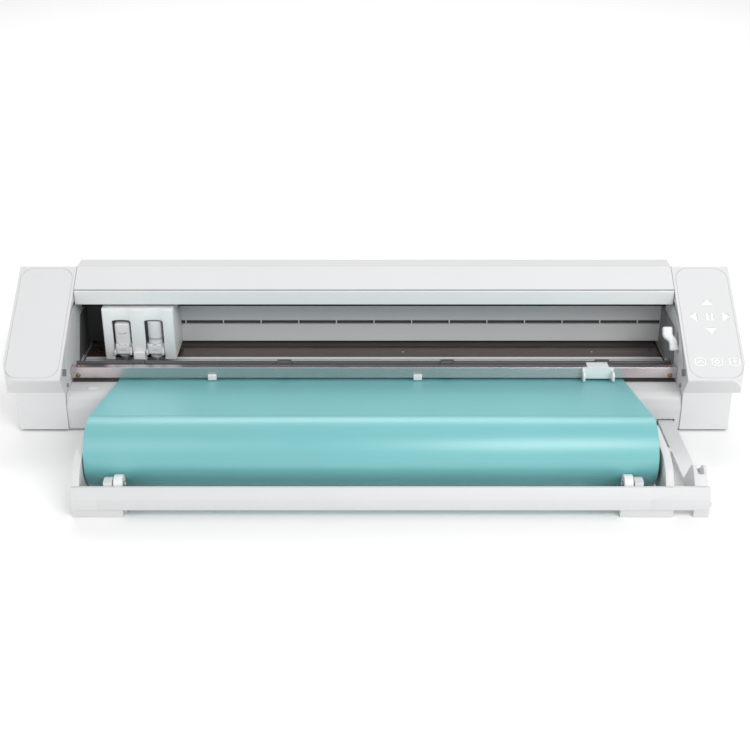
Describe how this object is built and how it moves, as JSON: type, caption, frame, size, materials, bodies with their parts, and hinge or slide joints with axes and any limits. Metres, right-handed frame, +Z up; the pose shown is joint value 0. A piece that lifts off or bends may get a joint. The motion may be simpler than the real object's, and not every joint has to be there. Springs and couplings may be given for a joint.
{
  "type": "vinyl cutter",
  "caption": "Desktop cutter for rolled vinyl film: two sloped end pods, a lidded work bay with a tool carriage on a rail, and a pull-out roll feeder drawer.",
  "frame": {"origin": "on the floor under the middle of the whole outline, drawer pulled out", "axes": "+X to the operator's right along the machine, +Y away from the operator towards the back, +Z up"},
  "size_m": [0.869, 0.406, 0.1637],
  "materials": {
    "shell_white": "satin moulded",
    "panel_white": "smooth satin",
    "icon_white": "printed under gloss",
    "roof_grey": "powder coat",
    "deck_white": "fine grain",
    "plate_steel": "zinc plated sheet",
    "foot_rubber": "matt",
    "rail_aluminium": "brushed and anodised",
    "clip_white": "moulded",
    "strip_grey": "smooth",
    "inlay_grey": "smooth",
    "platen_brown": "glossy",
    "screw_copper": "plated",
    "beam_dark": "matt powder coat",
    "guide_steel": "ground",
    "bush_bronze": "sintered",
    "roller_dark": "knurled grip bands",
    "pinch_rubber": "matt",
    "belt_black": "reinforced",
    "motor_black": "laminated stack",
    "bracket_steel": "pressed sheet",
    "board_green": "solder mask",
    "socket_black": "moulded",
    "lever_white": "moulded",
    "pulley_grey": "turned",
    "carriage_white": "smooth moulded",
    "tool_grey": "moulded",
    "tool_steel": "turned",
    "blade_steel": "ground",
    "sensor_white": "moulded",
    "coil_copper": "wound wire",
    "drawer_white": "satin powder coat",
    "wheel_white": "moulded",
    "vinyl_teal": "matt film",
    "core_card": "wound card"
  },
  "bodies": {
    "root": {"left_pod_housing": "shell_white", "right_pod_housing": "shell_white", "left_top_panel": "panel_white", "right_touch_panel": "panel_white", "touch_icons": "icon_white", "base_deck": "deck_white", "bottom_plate": "plate_steel", "rubber_feet": "foot_rubber", "crossbar_rail": "rail_aluminium", "small_media_clips": "clip_white", "cutting_strip": "strip_grey", "cutting_inlay": "inlay_grey", "platen": "platen_brown", "screws": "screw_copper", "gantry_beam": "beam_dark", "guide_rail": "guide_steel", "top_cover": "shell_white", "rear_cover": "roof_grey", "roller_bushes": "bush_bronze", "feed_belt": "belt_black", "timing_belt": "belt_black", "stepper_motors": "motor_black", "pulley_brackets": "bracket_steel", "circuit_boards": "board_green", "rear_sockets": "socket_black", "vinyl_web": "vinyl_teal"},
    "lid": {"lid_panel": "shell_white", "lid_lip": "shell_white"},
    "media_guide": {"media_guide": "clip_white"},
    "drive_roller": {"drive_roller": "roller_dark"},
    "feed_pulley": {"feed_motor_pulley": "pulley_grey"},
    "pinch_frame": {"pinch_shaft": "guide_steel", "pinch_arms": "beam_dark"},
    "pinch_rollers": {"pinch_rollers": "pinch_rubber"},
    "roller_lever": {"roller_lever": "lever_white"},
    "carriage": {"carriage_cover": "carriage_white", "carriage_frame": "bracket_steel", "slide_block": "tool_grey", "tool_guide_rods": "guide_steel", "mark_sensor": "sensor_white", "lift_coils": "coil_copper"},
    "left_tool": {"left_tool_holder": "tool_grey", "left_blade_housing": "tool_grey", "left_blade_tip": "blade_steel"},
    "left_latch": {"left_tool_latch": "tool_grey"},
    "right_tool": {"right_tool_holder": "tool_grey", "right_tool_body": "tool_steel"},
    "right_latch": {"right_tool_latch": "tool_grey"},
    "motor_pulley": {"motor_pulley": "pulley_grey"},
    "idler_pulley": {"idler_pulley": "pulley_grey"},
    "drawer": {"drawer_front_beam": "drawer_white", "drawer_rear_bar": "drawer_white", "drawer_arms": "drawer_white", "end_plates": "drawer_white", "right_end_bracket": "drawer_white", "roll_stands": "drawer_white"},
    "vinyl_roll": {"vinyl_roll": "vinyl_teal", "roll_core": "core_card"},
    "front_wheels": {"front_roll_wheels": "wheel_white"},
    "rear_wheels": {"rear_roll_wheels": "wheel_white"}
  },
  "joints": [
    {"name": "lid_hinge", "type": "hinge", "parent": "root", "child": "lid", "pos_m": [0, 0.1017, 0.0051], "axis": [1, 0, 0], "range_deg": [0, 49.3]},
    {"name": "drawer_slide", "type": "slide", "parent": "root", "child": "drawer", "axis": [0, 1, 0], "range_m": [0, 0.06], "deforming": ["vinyl_web"]},
    {"name": "vinyl_roll_spin", "type": "hinge", "parent": "drawer", "child": "vinyl_roll", "pos_m": [0, -0.1367, 0.0445], "axis": [1, 0, 0], "continuous": true},
    {"name": "front_wheel_spin", "type": "hinge", "parent": "drawer", "child": "front_wheels", "pos_m": [0, -0.1836, 0.0305], "axis": [1, 0, 0], "continuous": true},
    {"name": "rear_wheel_spin", "type": "hinge", "parent": "drawer", "child": "rear_wheels", "pos_m": [0, -0.0965, 0.0167], "axis": [1, 0, 0], "continuous": true},
    {"name": "drive_roller_spin", "type": "hinge", "parent": "root", "child": "drive_roller", "pos_m": [0, 0.05, 0.0414], "axis": [1, 0, 0], "continuous": true},
    {"name": "feed_motor_spin", "type": "hinge", "parent": "root", "child": "feed_pulley", "pos_m": [0, 0.14, 0.045], "axis": [1, 0, 0], "continuous": true},
    {"name": "roller_lever_hinge", "type": "hinge", "parent": "root", "child": "roller_lever", "pos_m": [0.37, 0.07, 0.076], "axis": [-1, 0, 0], "range_deg": [0, 20]},
    {"name": "pinch_lift", "type": "hinge", "parent": "root", "child": "pinch_frame", "pos_m": [0, 0.06, 0.056], "axis": [-1, 0, 0], "range_deg": [0, 10]},
    {"name": "pinch_roller_spin", "type": "hinge", "parent": "pinch_frame", "child": "pinch_rollers", "pos_m": [0, 0.05, 0.054], "axis": [1, 0, 0], "continuous": true},
    {"name": "carriage_slide", "type": "slide", "parent": "root", "child": "carriage", "axis": [1, 0, 0], "range_m": [0, 0.595]},
    {"name": "motor_pulley_spin", "type": "hinge", "parent": "root", "child": "motor_pulley", "pos_m": [-0.391, 0.125, 0.108], "axis": [0, 0, 1], "continuous": true},
    {"name": "idler_spin", "type": "hinge", "parent": "root", "child": "idler_pulley", "pos_m": [0.391, 0.125, 0.108], "axis": [0, 0, 1], "continuous": true},
    {"name": "left_tool_slide", "type": "slide", "parent": "carriage", "child": "left_tool", "axis": [0, 0, -1], "range_m": [0, 0.0016]},
    {"name": "left_latch_hinge", "type": "hinge", "parent": "left_tool", "child": "left_latch", "pos_m": [-0.3088, 0.0688, 0.0665], "axis": [1, 0, 0], "range_deg": [0, 55]},
    {"name": "right_tool_slide", "type": "slide", "parent": "carriage", "child": "right_tool", "axis": [0, 0, -1], "range_m": [0, 0.0016]},
    {"name": "right_latch_hinge", "type": "hinge", "parent": "right_tool", "child": "right_latch", "pos_m": [-0.2694, 0.0688, 0.0665], "axis": [1, 0, 0], "range_deg": [0, 55]},
    {"name": "guide_slide", "type": "slide", "parent": "root", "child": "media_guide", "axis": [1, 0, 0], "range_m": [-0.185, 0.06]}
  ],
  "couplings": [
    {"joint": "front_wheel_spin", "follows": "vinyl_roll_spin", "ratio": -3.86},
    {"joint": "rear_wheel_spin", "follows": "vinyl_roll_spin", "ratio": -3.86},
    {"joint": "feed_motor_spin", "follows": "drive_roller_spin", "ratio": 2.6667},
    {"joint": "pinch_roller_spin", "follows": "drive_roller_spin", "ratio": -1.3},
    {"joint": "pinch_lift", "follows": "roller_lever_hinge", "ratio": 0.5},
    {"joint": "motor_pulley_spin", "follows": "carriage_slide", "rad_per_m": 131.58},
    {"joint": "idler_spin", "follows": "carriage_slide", "rad_per_m": 131.58}
  ]
}
